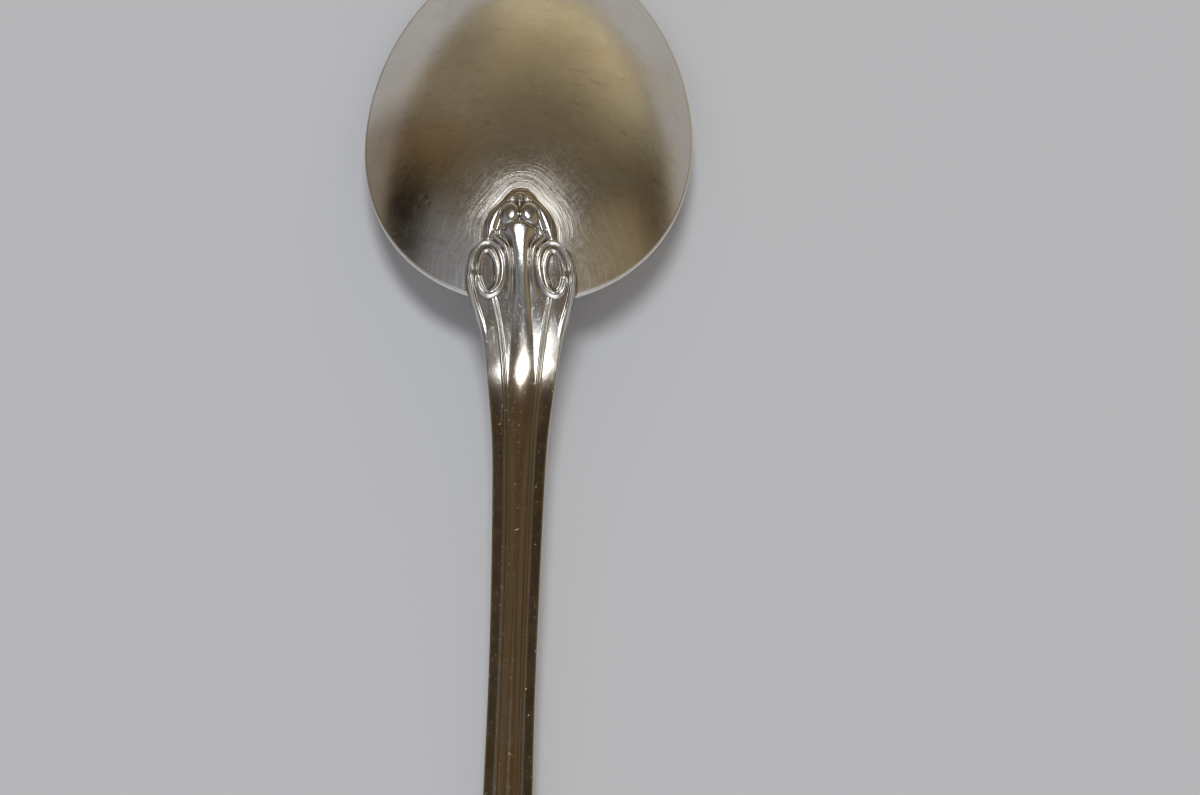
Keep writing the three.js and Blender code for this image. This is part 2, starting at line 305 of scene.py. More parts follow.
def heel_gap(x, along):
    """Distance to the heel's outline, in millimetres: positive outside it and negative inside."""
    places = np.concatenate([np.linspace(CREST, 38, 60), np.linspace(38.1, 50, 90)])
    width = section(places)[0]
    outline = np.concatenate([
        np.stack([-width[::-1], places[::-1]], -1), np.stack([width, places], -1)])
    flat = np.stack([np.ravel(x), np.ravel(along)], -1)
    distance = np.full(len(flat), 1e9)
    for a, b in zip(outline[:-1], outline[1:]):
        step = b - a
        length = max(step @ step, 1e-12)
        share = np.clip((flat - a) @ step / length, 0, 1)
        distance = np.minimum(distance, np.linalg.norm(flat - a - share[:, None] * step, axis=1))
    inside = (np.abs(flat[:, 0]) < section(flat[:, 1])[0]) & (flat[:, 1] > CREST)
    return np.where(inside, -distance, distance).reshape(np.shape(x))


# The tongue, which runs on as the stem's central ridge: along, half width, height.
TONGUE = np.array([
    [39.60, 0.02, 0.16],
    [39.80, 0.60, 0.30],
    [40.25, 1.45, 0.40],
    [41.00, 1.26, 0.42],
    [41.80, 0.96, 0.40],
    [43.00, 0.76, 0.34],
    [45.00, 0.66, 0.24],
    [47.00, 0.72, 0.15],
    [50.00, 1.00, 0.095],
    [54.00, 1.25, 0.075],
    [60.00, 0.95, 0.11],
    [82.00, 0.70, 0.13],
    [128.0, 1.02, 0.14],
    [178.0, 2.10, 0.16],
    [195.0, 2.20, 0.16],
])
# A pair of fine threads runs down each side of the stem, then a shallow flute and the edge.
THREAD_PLACE = np.array([[45.0, 0.56], [47.0, 0.555], [51.0, 0.52], [58.0, 0.48], [100.0, 0.47],
                         [195.0, 0.47]])
THREAD_SPACING = 0.135      # from the middle of the pair to each thread
THREAD_HALF_WIDTH = 0.115
THREAD_HEIGHT = 0.075
FLUTE_DEPTH = 0.08
EDGE_ROUND = 0.12
# Lobes of the palmette: x, along, half width, half length, rise. All but the last are on both sides.
LOBES = [
    (0.90, 38.92, 0.90, 1.16, 0.42),
    (0.76, 37.36, 0.40, 0.26, 0.24),
    (2.06, 40.62, 0.17, 0.15, 0.10),
    (2.00, 41.12, 0.15, 0.13, 0.10),
    (0.00, 37.48, 0.21, 0.56, 0.30),
]
# Raised bands of the heel, on both sides: points of x, along, half width, height.
ROLL = [(1.30, 37.62, 0.26, 0.12), (2.02, 38.50, 0.48, 0.24), (2.50, 39.50, 0.60, 0.28),
        (2.76, 40.45, 0.52, 0.28), (3.02, 41.35, 0.36, 0.20)]
ARM = [(2.42, 40.30, 0.06, 0.20), (2.34, 40.85, 0.12, 0.32), (2.02, 41.28, 0.17, 0.34),
       (1.50, 41.82, 0.22, 0.34), (1.19, 42.70, 0.23, 0.33), (1.07, 43.80, 0.19, 0.28),
       (1.14, 45.10, 0.15, 0.22), (1.40, 46.40, 0.08, 0.08)]
SCROLL_X, SCROLL_ALONG = 3.05, 43.8
SCROLL_HALF_WIDTH, SCROLL_HALF_LENGTH = 1.55, 2.35
SCROLL_TURNS = 1.95
EYE_WIDTH, EYE_LENGTH, EYE_SHIFT = 0.54, 0.78, 0.25
SCROLL_BEAD, SCROLL_HEIGHT = 0.20, 0.26
DISH_HALF_WIDTH, DISH_HALF_LENGTH, DISH_DEPTH = 0.76, 1.78, 0.15


def scroll_path():
    """The scroll's bead: up the stem's edge, round the outside of the scroll and into its eye."""
    edge = np.linspace(50, 44.2, 12)
    points = [(0.935 * w, a) for w, a in zip(section(edge)[0], edge)]
    for turns in np.linspace(0, SCROLL_TURNS, 90):
        inward = smooth(0.7, 1.05, turns)
        half_width = SCROLL_HALF_WIDTH * mix(1, EYE_WIDTH, inward)
        half_length = SCROLL_HALF_LENGTH * mix(1, EYE_LENGTH, inward)
        turn = 2 * math.pi * turns
        points.append((SCROLL_X + half_width * math.cos(turn),
                       SCROLL_ALONG + EYE_SHIFT * inward - half_length * math.sin(turn)))
    thin = 1 - 0.25 * smooth(55, 100, np.arange(len(points)))
    rise = smooth(0, 10, np.arange(len(points)))
    return [(x, a, SCROLL_BEAD * t, SCROLL_HEIGHT * r) for (x, a), t, r in zip(points, thin, rise)]


def dense(path, count=160):
    """A path's points, set close together along a smooth curve."""
    path = np.array(path, float)
    steps = np.concatenate([[0], np.cumsum(np.hypot(*np.diff(path[:, :2], axis=0).T))])
    at = np.linspace(0, steps[-1], count)
    return np.stack([spline(steps, path[:, k], at) for k in range(4)], -1)


def band_height(x, along, path):
    """Height of a round band along a path, at places on the side where x is positive."""
    height = np.zeros_like(x)
    for px, pa, half_width, rise in dense(path):
        reach = ((x - px) ** 2 + (along - pa) ** 2) / max(half_width, 0.02) ** 2
        height = np.maximum(height, rise * np.clip(1 - reach, 0, None) ** 0.75)
    return height


def thread_height(x, along, half_width):
    """Height of the threads, flutes and rounded edge of the stem; x is never less than 0."""
    place = spline(THREAD_PLACE[:, 0], THREAD_PLACE[:, 1], along) * half_width
    height = np.zeros_like(x)
    for side in (-1, 1):
        reach = (x - place - side * THREAD_SPACING) / THREAD_HALF_WIDTH
        height = height + THREAD_HEIGHT * np.clip(1 - reach ** 2, 0, None) ** 1.5
    start = place + THREAD_SPACING + THREAD_HALF_WIDTH
    share = np.clip((x - start) / np.maximum(half_width - EDGE_ROUND - start, 0.05), 0, 1)
    return height - FLUTE_DEPTH * np.sin(share * math.pi) ** 2


def tongue_height(x, along):
    half_width, rise = (spline(TONGUE[:, 0], TONGUE[:, k], along) for k in (1, 2))
    across = np.abs(x) / np.maximum(half_width, 0.02)
    flat_top = np.clip(1 - across ** 3.5, 0, None) ** 0.8
    round_top = np.clip(1 - across ** 2, 0, None) ** 1.3
    shape = mix(flat_top, round_top, smooth(45, 50, along))
    return np.where(along < TONGUE[0, 0], 0.0, rise * shape)


def heel_relief(x, along):
    """Height of the palmette and scrolls above the heel's plain plate."""
    x = np.abs(x)
    reach = ((x - SCROLL_X) / DISH_HALF_WIDTH) ** 2
    reach = reach + ((along - SCROLL_ALONG - EYE_SHIFT) / DISH_HALF_LENGTH) ** 2
    height = -DISH_DEPTH * np.clip(1 - reach, 0, None)
    for band in (ROLL, ARM, scroll_path()):
        height = np.maximum(height, band_height(x, along, band))
    for lx, la, half_width, half_length, rise in LOBES:
        reach = ((x - lx) / half_width) ** 2 + ((along - la) / half_length) ** 2
        height = np.maximum(height, rise * np.clip(1 - reach ** 1.5, 0, None) ** 0.6)
    return height


def back_height(x, along):
    """Height of the back of the handle, and its relief alone."""
    half_width, back, _ = section(along)
    on_bowl = 1 - smooth(HEEL_END, HEEL_END + 5, along)
    threads = smooth(HEEL_END - 0.9, HEEL_END + 0.6, along)
    threads = threads * (1 - smooth(HANDLE_END - 7, HANDLE_END - 2, along))
    relief = thread_height(np.abs(x), along, half_width) * threads
    in_heel = along < 50.5
    heel = np.zeros_like(relief)
    heel[in_heel] = heel_relief(x[in_heel], along[in_heel])
    heel = local_mean(heel, 1)
    ground = -0.14 * (1 - smooth(46, 90, along))
    relief = np.maximum(relief, np.where(heel > 0, heel, relief + np.minimum(heel, 0))) + ground
    relief = np.where(heel < 0, heel + ground, relief)
    relief = np.maximum(relief, tongue_height(x, along) + ground)
    rounding = mix(STEM_CROWN * (x / half_width) ** 2, HEEL_CROWN * smooth(0, 2.6, np.abs(x)), on_bowl)
    plate = back - HEEL_SAG * x ** 2 * on_bowl - rounding
    return plate + relief, relief


def handle_rows():
    """Places of the handle's sections: very close on the heel, then wider and wider."""
    rows = [np.linspace(CREST, CREST + 0.4, 11)[:-1], np.arange(CREST + 0.4, 47.47, 0.06)]
    place, step = 47.5, 0.07
    tail = []
    while place < HANDLE_END - 9:
        tail.append(place)
        step = min(step * 1.03, 1.1)
        place += step
    end = HANDLE_END - 9 + 9 * np.sin(np.linspace(0, math.pi / 2, 34))
    return np.concatenate(rows + [tail, end])


def lean(along):
    """How far the handle is shifted sideways at places along the spoon."""
    return spline(LEAN[:, 0], LEAN[:, 1], along)


def round_edge(distance, radius):
    """The drop of a rounded edge at a distance inwards from it."""
    share = np.clip(1 - distance / radius, 0, 1)
    return radius * (1 - np.sqrt(1 - share ** 2))


def make_handle():
    along = handle_rows()[:, None]
    half_width, _, underside = section(along)
    count = BACK_COLUMNS
    spread = np.linspace(-1, 1, count)
    x = (np.sin(spread * math.pi / 2) * 0.4 + spread * 0.6) * half_width
    places = np.broadcast_to(along, x.shape).copy()
    top, relief = back_height(x, places)
    # A low ledge runs round the palmette, just inside its outline.
    on_heel = int((along[:, 0] < 47.5).sum())
    inward = np.full_like(x, 9.0)
    inward[:on_heel] = -heel_gap(x[:on_heel], places[:on_heel])
    ledge_width = mix(0.62, 0.40, smooth(36.6, 38.2, places))
    near = 1 - smooth(0.35, 1.0, inward / ledge_width)
    ledge = near * (1 - smooth(40.9, 41.9, places))
    top = top - LEDGE_DEPTH * ledge - round_edge(inward, EDGE_ROUND) * 0.8
    radius = bowl_radius(x, places)
    resting = (radius < 0.985) & (places < HEEL_END)
    top = np.where(resting, np.maximum(top, bowl_back(x, places) + CLEAR_OF_BOWL), top)
    edge = round_edge(half_width - np.abs(x), EDGE_ROUND)
    top = top - edge * smooth(44, 47, places)
    # The underside: buried in the bowl's sheet on the heel, and fluted on the stem.
    narrowing = mix(1.0, STEM_UNDERCUT, smooth(HEEL_END, HEEL_END + 6, along))
    under_x = np.linspace(1, -1, UNDER_COLUMNS) * half_width * narrowing
    under_along = np.broadcast_to(along, under_x.shape)
    radius = bowl_radius(under_x, under_along)
    buried = bowl_back(under_x, under_along) - BURIED
    fluted = smooth(HEEL_END + 6, HEEL_END + 14, under_along)
    fluted = fluted * (1 - smooth(REST_START - 10, REST_START - 1, under_along)
                       * (1 - smooth(REST_END + 1, REST_END + 8, under_along)))
    fluted = fluted * (1 - smooth(HANDLE_END - 8, HANDLE_END - 3, under_along))
    grooves = 0.10 - thread_height(np.abs(under_x), under_along, half_width * narrowing)
    from_edge = half_width * narrowing - np.abs(under_x)
    rounded = round_edge(from_edge, 0.3) * smooth(HEEL_END, HEEL_END + 3, under_along)
    open_under = underside + grooves * fluted + rounded
    bottom = mix(buried, open_under, smooth(0.965, 0.99, radius) * (under_along > 40))
    bottom = np.minimum(bottom, top.min(axis=1, keepdims=True) - 0.25)
    # The sides, between the edges of the back and of the underside.
    share = np.linspace(0, 1, SIDE_COLUMNS + 2)[1:-1]

    def side(sign, top_edge, bottom_edge):
        edge_x = sign * half_width * mix(1.0, narrowing, share ** 2)
        depth = np.sin(share * math.pi / 2)
        return np.stack([edge_x, np.broadcast_to(along, edge_x.shape),
                         mix(top_edge, bottom_edge, depth)], -1)

    right = side(1, top[:, -1:], bottom[:, :1])
    left = side(-1, top[:, :1], bottom[:, -1:])[:, ::-1]
    back = np.stack([x, places, top], -1)
    under = np.stack([under_x, under_along, bottom], -1)
    loops = np.concatenate([back, right, under, left], axis=1)
    loops[..., 0] += lean(loops[..., 1])
    rows, columns = loops.shape[:2]
    faces = ring_faces(rows, columns, flip=True)
    faces.append(tuple(range(columns)))
    faces.append(tuple(reversed(range((rows - 1) * columns, rows * columns))))
    # How hollow each place is, for the tarnish: 0 on a ridge, 1 in a groove.
    hollow = np.full((rows, columns), 0.5)
    hollow[:, :count] = np.clip(0.5 - (relief - local_mean(relief)) / 0.2, 0, 1)
    hollow[:, :count] = np.maximum(hollow[:, :count], ledge * 0.85)
    thread_x = spline(THREAD_PLACE[:, 0], THREAD_PLACE[:, 1], places) * half_width
    band = smooth(0.0, 0.12, np.abs(x) - thread_x - THREAD_SPACING - THREAD_HALF_WIDTH)
    band = band * smooth(0.10, 0.22, half_width - np.abs(x)) * smooth(49.5, 56, places)
    hollow[:, :count] = np.maximum(hollow[:, :count], band * 0.95)
    hollow[:on_heel, count:count + SIDE_COLUMNS] = 0.9
    hollow[:on_heel, -SIDE_COLUMNS:] = 0.9
    return make_piece("handle_body", loops.reshape(-1, 3), faces, {"hollow": hollow.ravel()})


def local_mean(field, reach=5):
    """The field averaged over a few points each way, to tell hollows from ridges."""
    mean = field.copy()
    for axis in (0, 1):
        padded = np.concatenate([np.take(mean, [0] * reach, axis), mean,
                                 np.take(mean, [-1] * reach, axis)], axis)
        total = sum(np.take(padded, np.arange(k, k + mean.shape[axis]), axis)
                    for k in range(2 * reach + 1))
        mean = total / (2 * reach + 1)
    return mean


# ======== The solder ========

SOLDER_BEAD = 0.11


def make_solder():
    """A thin closed bead of solder: round the heel on the back of the bowl, and under its end."""
    places = np.concatenate([CREST + 2.0 * np.linspace(0, 1, 30) ** 2.5, np.linspace(38.15, 45.0, 46)])
    width = section(places)[0] + 0.02
    over = np.stack([width, places, bowl_back(width, places) + 0.02], -1)
    corner = over[-1]
    turn = np.linspace(0.25, 0.90, 5)
    side_x = corner[0] - 0.35 * turn
    side_along = corner[1] + 0.22 * np.sin(turn * math.pi / 2)
    side = np.stack([side_x, side_along, mix(corner[2], rim_height(corner[1]) + 0.05, turn)], -1)
    xs = np.linspace(side_x[-1] - 0.2, 0, 14)
    angle = np.linspace(math.pi * 0.85, math.pi, 400)
    cosine = np.cos(angle)
    egg_x = BOWL_WIDTH / 2 * np.sin(angle) * egg(cosine)
    ends = np.interp(xs, egg_x[::-1], (TOE + BOWL_LENGTH / 2 * (1 - cosine))[::-1])
    below = np.stack([xs, ends + 0.03, rim_height(ends) + 0.06], -1)
    half = np.vstack([over, side, below])
    other = half[1:-1][::-1] * [-1, 1, 1]
    loop = np.vstack([half, other])
    loop[:, 0] += lean(loop[:, 1])
    ahead = np.roll(loop, -1, axis=0) - np.roll(loop, 1, axis=0)
    ahead /= np.linalg.norm(ahead, axis=1, keepdims=True)
    outward = np.cross(ahead, [0.0, 0.0, 1.0])
    outward /= np.maximum(np.linalg.norm(outward, axis=1, keepdims=True), 1e-6)
    raised = np.cross(outward, ahead)
    sides = 10
    turn = np.linspace(0, 2 * math.pi, sides, endpoint=False)[None, :, None]
    wobble = 1 + 0.12 * np.sin(np.arange(len(loop)) * 1.7)[:, None, None]
    ring = loop[:, None] + SOLDER_BEAD * wobble * (
        outward[:, None] * np.cos(turn) + raised[:, None] * np.sin(turn))
    points = np.vstack([ring, ring[:1]]).reshape(-1, 3)
    faces = [tuple(i % (len(loop) * sides) for i in face) for face in ring_faces(len(loop) + 1, sides)]
    return make_piece("solder_bead", points[:-sides], faces)


# ======== Materials ========

SILVER = (0.75, 0.72, 0.66, 1)
DULL_SILVER = (0.58, 0.53, 0.45, 1)
WHITE_SILVER = (0.74, 0.735, 0.715, 1)
DARK_FILM = (0.22, 0.165, 0.11, 1)
GOLDEN = (0.72, 0.60, 0.42, 1)
TARNISH_AND_SHADE = (0.26, 0.165, 0.085, 1)
BRIGHT = (0.93, 0.92, 0.90, 1)
COPPER = (0.62, 0.43, 0.25, 1)
FINE_RELIEF = 0.000006      # the height, in metres, of the scratches and grain

BUFFING_CENTRE = 42.0       # along the spoon, where the buffing marks turn about
# The bowl's scratches: angle in degrees, how fine, how short, and how few.
STREAKS = [(-38, 8.0, 0.5, 0.67), (72, 10.0, 0.8, 0.66), (-75, 7.0, 0.5, 0.68), (45, 12.0, 1.0, 0.67),
           (5, 7.0, 0.4, 0.69)]
# Tinted places on the bowl: x and along, inner and outer radius, strength and colour. The dark first one,
# down the left flank, is painted shade; the copper ones are tarnish.
TINTS = [((-15.5, 31.0), 4.5, 11.0, 0.76, TARNISH_AND_SHADE), ((-9.0, 31.0), 0.5, 6.5, 0.60, COPPER),
         ((12.0, 37.0), 0.0, 6.0, 0.40, COPPER)]
# Small dents: x and along, radius, depth.
DENTS = [((-9.5, 35.5), 0.55, 4.0), ((-9.0, 36.2), 0.35, 3.0), ((-10.1, 36.3), 0.30, 2.5)]


class Maker:
    """Adds nodes to one node tree and joins them up."""

    def __init__(self, tree):
        self.tree = tree
        tree.nodes.clear()

    def add(self, kind, settings=None, **inputs):
        node = self.tree.nodes.new(kind)
        for key, value in (settings or {}).items():
            setattr(node, key, value)
        for key, value in inputs.items():
            self.set(node.inputs[key.replace("_", " ")], value)
        return node

    def set(self, socket, value):
        if isinstance(value, bpy.types.NodeSocket):
            self.tree.links.new(value, socket)
        else:
            socket.default_value = value

    def math(self, operation, *values, clamp=False):
        node = self.add("ShaderNodeMath", {"operation": operation, "use_clamp": clamp})
        for socket, value in zip(node.inputs, values):
            self.set(socket, value)
        return node.outputs[0]

    def remap(self, value, from_low, from_high, to_low=0.0, to_high=1.0):
        """The value, moved smoothly from one range to another and held at its ends."""
        node = self.add("ShaderNodeMapRange", {"interpolation_type": "SMOOTHSTEP"})
        for key, number in zip(("Value", "From Min", "From Max", "To Min", "To Max"),
                               (value, from_low, from_high, to_low, to_high)):
            self.set(node.inputs[key], number)
        return node.outputs[0]

    def blend(self, share, first, second):
        """A colour between first and second."""
        node = self.add("ShaderNodeMix", {"data_type": "RGBA"})
        self.set(node.inputs[0], share)
        self.set(node.inputs[6], first)
        self.set(node.inputs[7], second)
        return node.outputs[2]

    def noise(self, vector, scale, detail=2.0, roughness=0.5):
        node = self.add("ShaderNodeTexNoise", Vector=vector, Scale=scale, Detail=detail,
                        Roughness=roughness)
        return node.outputs["Fac"]

    def stretch(self, vector, turn, sizes):
        """The vector turned about Z by an angle in degrees, then stretched."""
        turned = self.add("ShaderNodeMapping", Vector=vector, Rotation=(0, 0, math.radians(turn)))
        return self.add("ShaderNodeMapping", Vector=turned.outputs[0], Scale=sizes).outputs[0]

    def streaks(self, vector, turn, across, lengthwise, threshold):
        """Straight fine scratches in one direction: across is about how many to the millimetre."""
        stretched = self.stretch(vector, turn, (across, lengthwise, 0.4))
        field = self.noise(stretched, 1.0, 0.0)
        return self.remap(field, threshold, threshold + 0.10)


def new_material(name):
    material = bpy.data.materials.new(name)
    material.use_nodes = True
    return material, Maker(material.node_tree)


def millimetres(make):
    """The place on the object, in millimetres."""
    place = make.add("ShaderNodeTexCoord").outputs["Object"]
    return make.add("ShaderNodeMapping", Vector=place, Scale=(1000, 1000, 1000)).outputs[0]


def near_spot(make, place, spot, inner, outer):
    """1 within inner millimetres of a spot of (x, along), and 0 beyond outer."""
    offset = make.add("ShaderNodeMapping", Vector=place, Scale=(1, 1, 0),
                      Location=(-spot[0], spot[1] - DATUM_Y / MM, 0)).outputs[0]
    distance = make.add("ShaderNodeVectorMath", {"operation": "LENGTH"})
    make.set(distance.inputs[0], offset)
    return make.remap(distance.outputs["Value"], inner, outer, 1.0, 0.0)


def attribute(make, name):
    return make.add("ShaderNodeAttribute", {"attribute_name": name}).outputs["Fac"]


def finish_metal(make, colour, roughness, height, depth, strength=1.0):
    """A metal surface whose height, in shares of depth in metres, roughens its reflections."""
    bump = make.add("ShaderNodeBump", Strength=strength, Distance=depth, Height=height)
    shader = make.add("ShaderNodeBsdfPrincipled", Base_Color=colour, Metallic=1.0,
                      Roughness=roughness, Normal=bump.outputs[0])
    output = make.add("ShaderNodeOutputMaterial")
    make.tree.links.new(shader.outputs[0], output.inputs[0])


def arcs(make, gap, angle, across, lengthwise):
    """Fine marks that run round the heel: across is about how many to the millimetre."""
    rings = make.add("ShaderNodeCombineXYZ", X=make.math("MULTIPLY", gap, across),
                     Y=make.math("MULTIPLY", angle, lengthwise)).outputs[0]
    return make.remap(make.noise(rings, 1.0, 0.0), 0.52, 0.72)


def bowl_silver():
    material, make = new_material("worn_silver_bowl")
    place = millimetres(make)
    gap = attribute(make, "heel_gap")
    split = make.add("ShaderNodeSeparateXYZ", Vector=place)
    # Buffing marks that follow the heel's outline; round the heel they also carry a painted sheen.
    angle = make.math("ARCTAN2", split.outputs[0], make.math(
        "SUBTRACT", split.outputs[1], DATUM_Y / MM - BUFFING_CENTRE))
    ring_lines = make.math("MAXIMUM", arcs(make, gap, angle, 5.0, 1.3), arcs(make, gap, angle, 12.0, 2.2))
    halo = make.remap(gap, 0.3, 6.0, 1.0, 0.0)
    wide_halo = make.remap(gap, 1.0, 11.0, 0.6, 0.0)
    ring_marks_and_sheen = make.math("MULTIPLY", ring_lines, make.math("MAXIMUM", halo, wide_halo))
    # Fine straight scratches all over, in a few directions.
    cloud = make.noise(place, 0.16, 4.0, 0.55)
    lines = make.streaks(place, 20, 9.0, 0.6, 0.66)
    for turn, across, lengthwise, threshold in STREAKS:
        lines = make.math("MAXIMUM", lines, make.streaks(place, turn, across, lengthwise, threshold))
    lines = make.math("MULTIPLY", lines, make.math("MULTIPLY_ADD", cloud, 0.6, 0.1))
    grain = make.noise(make.stretch(place, 30, (14, 5, 8)), 1.0, 2.0, 0.6)
    mottle = make.noise(place, 0.7, 5.0, 0.65)
    speckle = make.remap(make.noise(make.stretch(place, 35, (3.0, 1.1, 1.0)), 1.0, 3.0, 0.6), 0.40, 0.66)
    worn = make.remap(cloud, 0.35, 0.68)
    roughness = make.math("MULTIPLY_ADD", worn, 0.06, 0.19)
    roughness = make.math("MULTIPLY_ADD", halo, make.math("MULTIPLY_ADD", speckle, 0.08, 0.03), roughness)
    roughness = make.math("MULTIPLY_ADD", lines, 0.10, roughness)
    # Films of tarnish in clouds and where the solder shows. The sides are dulled and one flank is
    # darkened as painted shade, standing in for the shaded floor and dark room that they reflect.
    film = make.math("MULTIPLY_ADD", make.remap(mottle, 0.40, 0.64), 0.22, make.math(
        "MULTIPLY", make.remap(cloud, 0.42, 0.72), 0.35))
    warm = make.remap(make.noise(place, 0.11, 3.0, 0.5), 0.48, 0.70, 0.0, 0.45)
    # Painted shade: the bowl is dulled towards its sides, so that the floor it reflects there looks
    # shaded.
    sides = make.remap(make.math("ABSOLUTE", split.outputs[0]), 9.0, 14.5, 0.0, 0.65)
    colour = make.blend(make.math("MAXIMUM", film, sides), SILVER, DULL_SILVER)
    colour = make.blend(warm, colour, GOLDEN)
    # The first tint is painted shade that darkens the left flank; the others are tarnish.
    for spot, inner, outer, share, tint in TINTS:
        strength = make.math("MULTIPLY", near_spot(make, place, spot, inner, outer), share)
        colour = make.blend(strength, colour, tint)
    smudges = make.noise(make.stretch(place, 15, (0.3, 0.9, 0.5)), 1.0, 4.0, 0.7)
    colour = make.blend(make.remap(smudges, 0.56, 0.74, 0.0, 0.35), colour, TARNISH_AND_SHADE)
    colour = make.blend(make.math("MULTIPLY", grain, 0.22), colour, DULL_SILVER)
    # Painted sheen: the buffing marks, and the scratches near the heel, are painted brighter than the
    # rest; the marks themselves are real wear.
    colour = make.blend(make.math("MULTIPLY", ring_marks_and_sheen, 0.8), colour, BRIGHT)
    line_share = make.math("MULTIPLY", lines, make.math("MULTIPLY_ADD", halo, 0.5, 0.22))
    colour = make.blend(line_share, colour, BRIGHT)
    # Painted highlight: the rim is painted bright along its rounded edge, and it is rougher where it is
    # worn.
    rim = attribute(make, "rim")
    colour = make.blend(make.math("MULTIPLY", rim, 0.8), colour, BRIGHT)
    roughness = make.math("MULTIPLY_ADD", rim, 0.30, roughness)
    edge = make.remap(gap, 0.08, 0.36, 1.0, 0.0)
    colour = make.blend(make.math("MULTIPLY", edge, 0.75), colour, TARNISH_AND_SHADE)
    height = make.math("MULTIPLY_ADD", ring_marks_and_sheen, -0.7, make.math(
        "MULTIPLY_ADD", grain, 0.40, make.math("MULTIPLY", lines, -0.12)))
    for spot, radius, depth in DENTS:
        height = make.math("MULTIPLY_ADD", near_spot(make, place, spot, 0.0, radius), -depth, height)
    finish_metal(make, colour, roughness, height, FINE_RELIEF)
    return material


def handle_silver():
    material, make = new_material("worn_silver_handle")
    place = millimetres(make)
    hollow = attribute(make, "hollow")
    lines = make.streaks(place, 3, 10.0, 0.4, 0.68)
    for turn, across, lengthwise, threshold in ((-14, 9.0, 0.6, 0.69), (50, 9.0, 1.0, 0.71)):
        lines = make.math("MAXIMUM", lines, make.streaks(place, turn, across, lengthwise, threshold))
    x, y, _ = make.add("ShaderNodeSeparateXYZ", Vector=place).outputs
    rubbed = make.remap(y, DATUM_Y / MM - 57, DATUM_Y / MM - 47)
    # Painted reflection: the middle of the stem, beyond the rubbed heel, is tinted a warm amber.
    painted_warm_reflection = make.math("MULTIPLY", make.remap(make.math("ABSOLUTE", x), 0.3, 1.9, 0.6, 0.0),
                      make.math("SUBTRACT", 1.0, rubbed))
    lines = make.math("MULTIPLY", lines, make.math("MULTIPLY_ADD", rubbed, 0.6, 0.12))
    pits = make.remap(make.noise(place, 6.0, 1.0, 0.6), 0.69, 0.76)
    grain = make.noise(place, 11.0, 2.0, 0.6)
    cloud = make.noise(place, 0.5, 4.0, 0.6)
    deep = make.remap(hollow, 0.50, 0.88)
    film = make.math("MULTIPLY", deep, make.remap(cloud, 0.25, 0.6, 0.45, 1.0))
    warm = make.remap(make.noise(place, 0.22, 3.0, 0.5), 0.45, 0.70, 0.0, 0.5)
    colour = make.blend(warm, SILVER, GOLDEN)
    colour = make.blend(make.math("MULTIPLY", rubbed, 0.8), colour, WHITE_SILVER)
    colour = make.blend(painted_warm_reflection, colour, COPPER)
    colour = make.blend(make.math("MULTIPLY", film, 0.80), colour, DARK_FILM)
    colour = make.blend(make.math("MULTIPLY", lines, 0.22), colour, BRIGHT)
    roughness = make.math("MULTIPLY_ADD", rubbed, 0.05, make.math("MULTIPLY_ADD", film, 0.03, 0.10))
    roughness = make.math("MULTIPLY_ADD", cloud, 0.04, roughness)
    roughness = make.math("MULTIPLY_ADD", lines, 0.10, roughness)
    height = make.math("MULTIPLY_ADD", pits, -1.0, make.math(
        "MULTIPLY_ADD", grain, 0.30, make.math("MULTIPLY", lines, -0.15)))
    finish_metal(make, colour, roughness, height, FINE_RELIEF)
    return material


def solder_silver():
    material, make = new_material("tarnished_solder")
    place = millimetres(make)
    blotch = make.remap(make.noise(place, 1.1, 4.0, 0.6), 0.35, 0.65)
    grain = make.noise(place, 9.0, 3.0, 0.6)
    colour = make.blend(make.math("MULTIPLY", blotch, 0.5), TARNISH_AND_SHADE, DULL_SILVER)
    roughness = make.math("MULTIPLY_ADD", grain, 0.2, 0.3)
    finish_metal(make, colour, roughness, grain, 0.00002)
    return material


def floor_paint():
    material, make = new_material("pale_floor")
    shader = make.add("ShaderNodeBsdfPrincipled", Base_Color=(0.785, 0.805, 0.85, 1), Roughness=0.75)
    output = make.add("ShaderNodeOutputMaterial")
    make.tree.links.new(shader.outputs[0], output.inputs[0])
    return material


# ======== The scene ========

CAMERA_PLACE = [8.2, 184.3, 225.8]                      # x, along and height
CAMERA_TILT, CAMERA_YAW, CAMERA_ROLL = 59.49, -0.43, 0.26       # degrees
LENS, SENSOR = 84.24, 36


def add_camera():
    """The camera looks down at the heel, from the handle's side and a little to the right."""
    data = bpy.data.cameras.new("camera")
    data.sensor_width = SENSOR
    data.lens = LENS
    data.clip_start = 0.01
    camera = bpy.data.objects.new("camera", data)
    bpy.context.scene.collection.objects.link(camera)
    tilt, yaw, roll = (math.radians(angle) for angle in (CAMERA_TILT, CAMERA_YAW, CAMERA_ROLL))
    place = to_row(CAMERA_PLACE)
    forward = Vector((math.sin(yaw) * math.cos(tilt), math.cos(yaw) * math.cos(tilt), -math.sin(tilt)))
    right = Vector((math.cos(yaw), -math.sin(yaw), 0))
    up = right.cross(forward)
    rolled_right = right * math.cos(roll) + up * math.sin(roll)
    rolled_up = up * math.cos(roll) - right * math.sin(roll)
    turn = Matrix((rolled_right, rolled_up, -forward)).transposed().to_4x4()
    camera.matrix_world = Matrix.Translation(Vector(place)) @ turn
    bpy.context.scene.camera = camera


def add_light(name, place, target, width, depth, power, colour):
    data = bpy.data.lights.new(name, "AREA")
    data.shape = "ELLIPSE"
    data.size = width
    data.size_y = depth
    data.energy = power
    data.color = colour
    light = bpy.data.objects.new(name, data)
    light.location = place
    light.rotation_euler = (Vector(target) - Vector(place)).to_track_quat("-Z", "Y").to_euler()
    bpy.context.scene.collection.objects.link(light)
    return light


LAMP_COLOUR = (0.95, 0.975, 1.0)
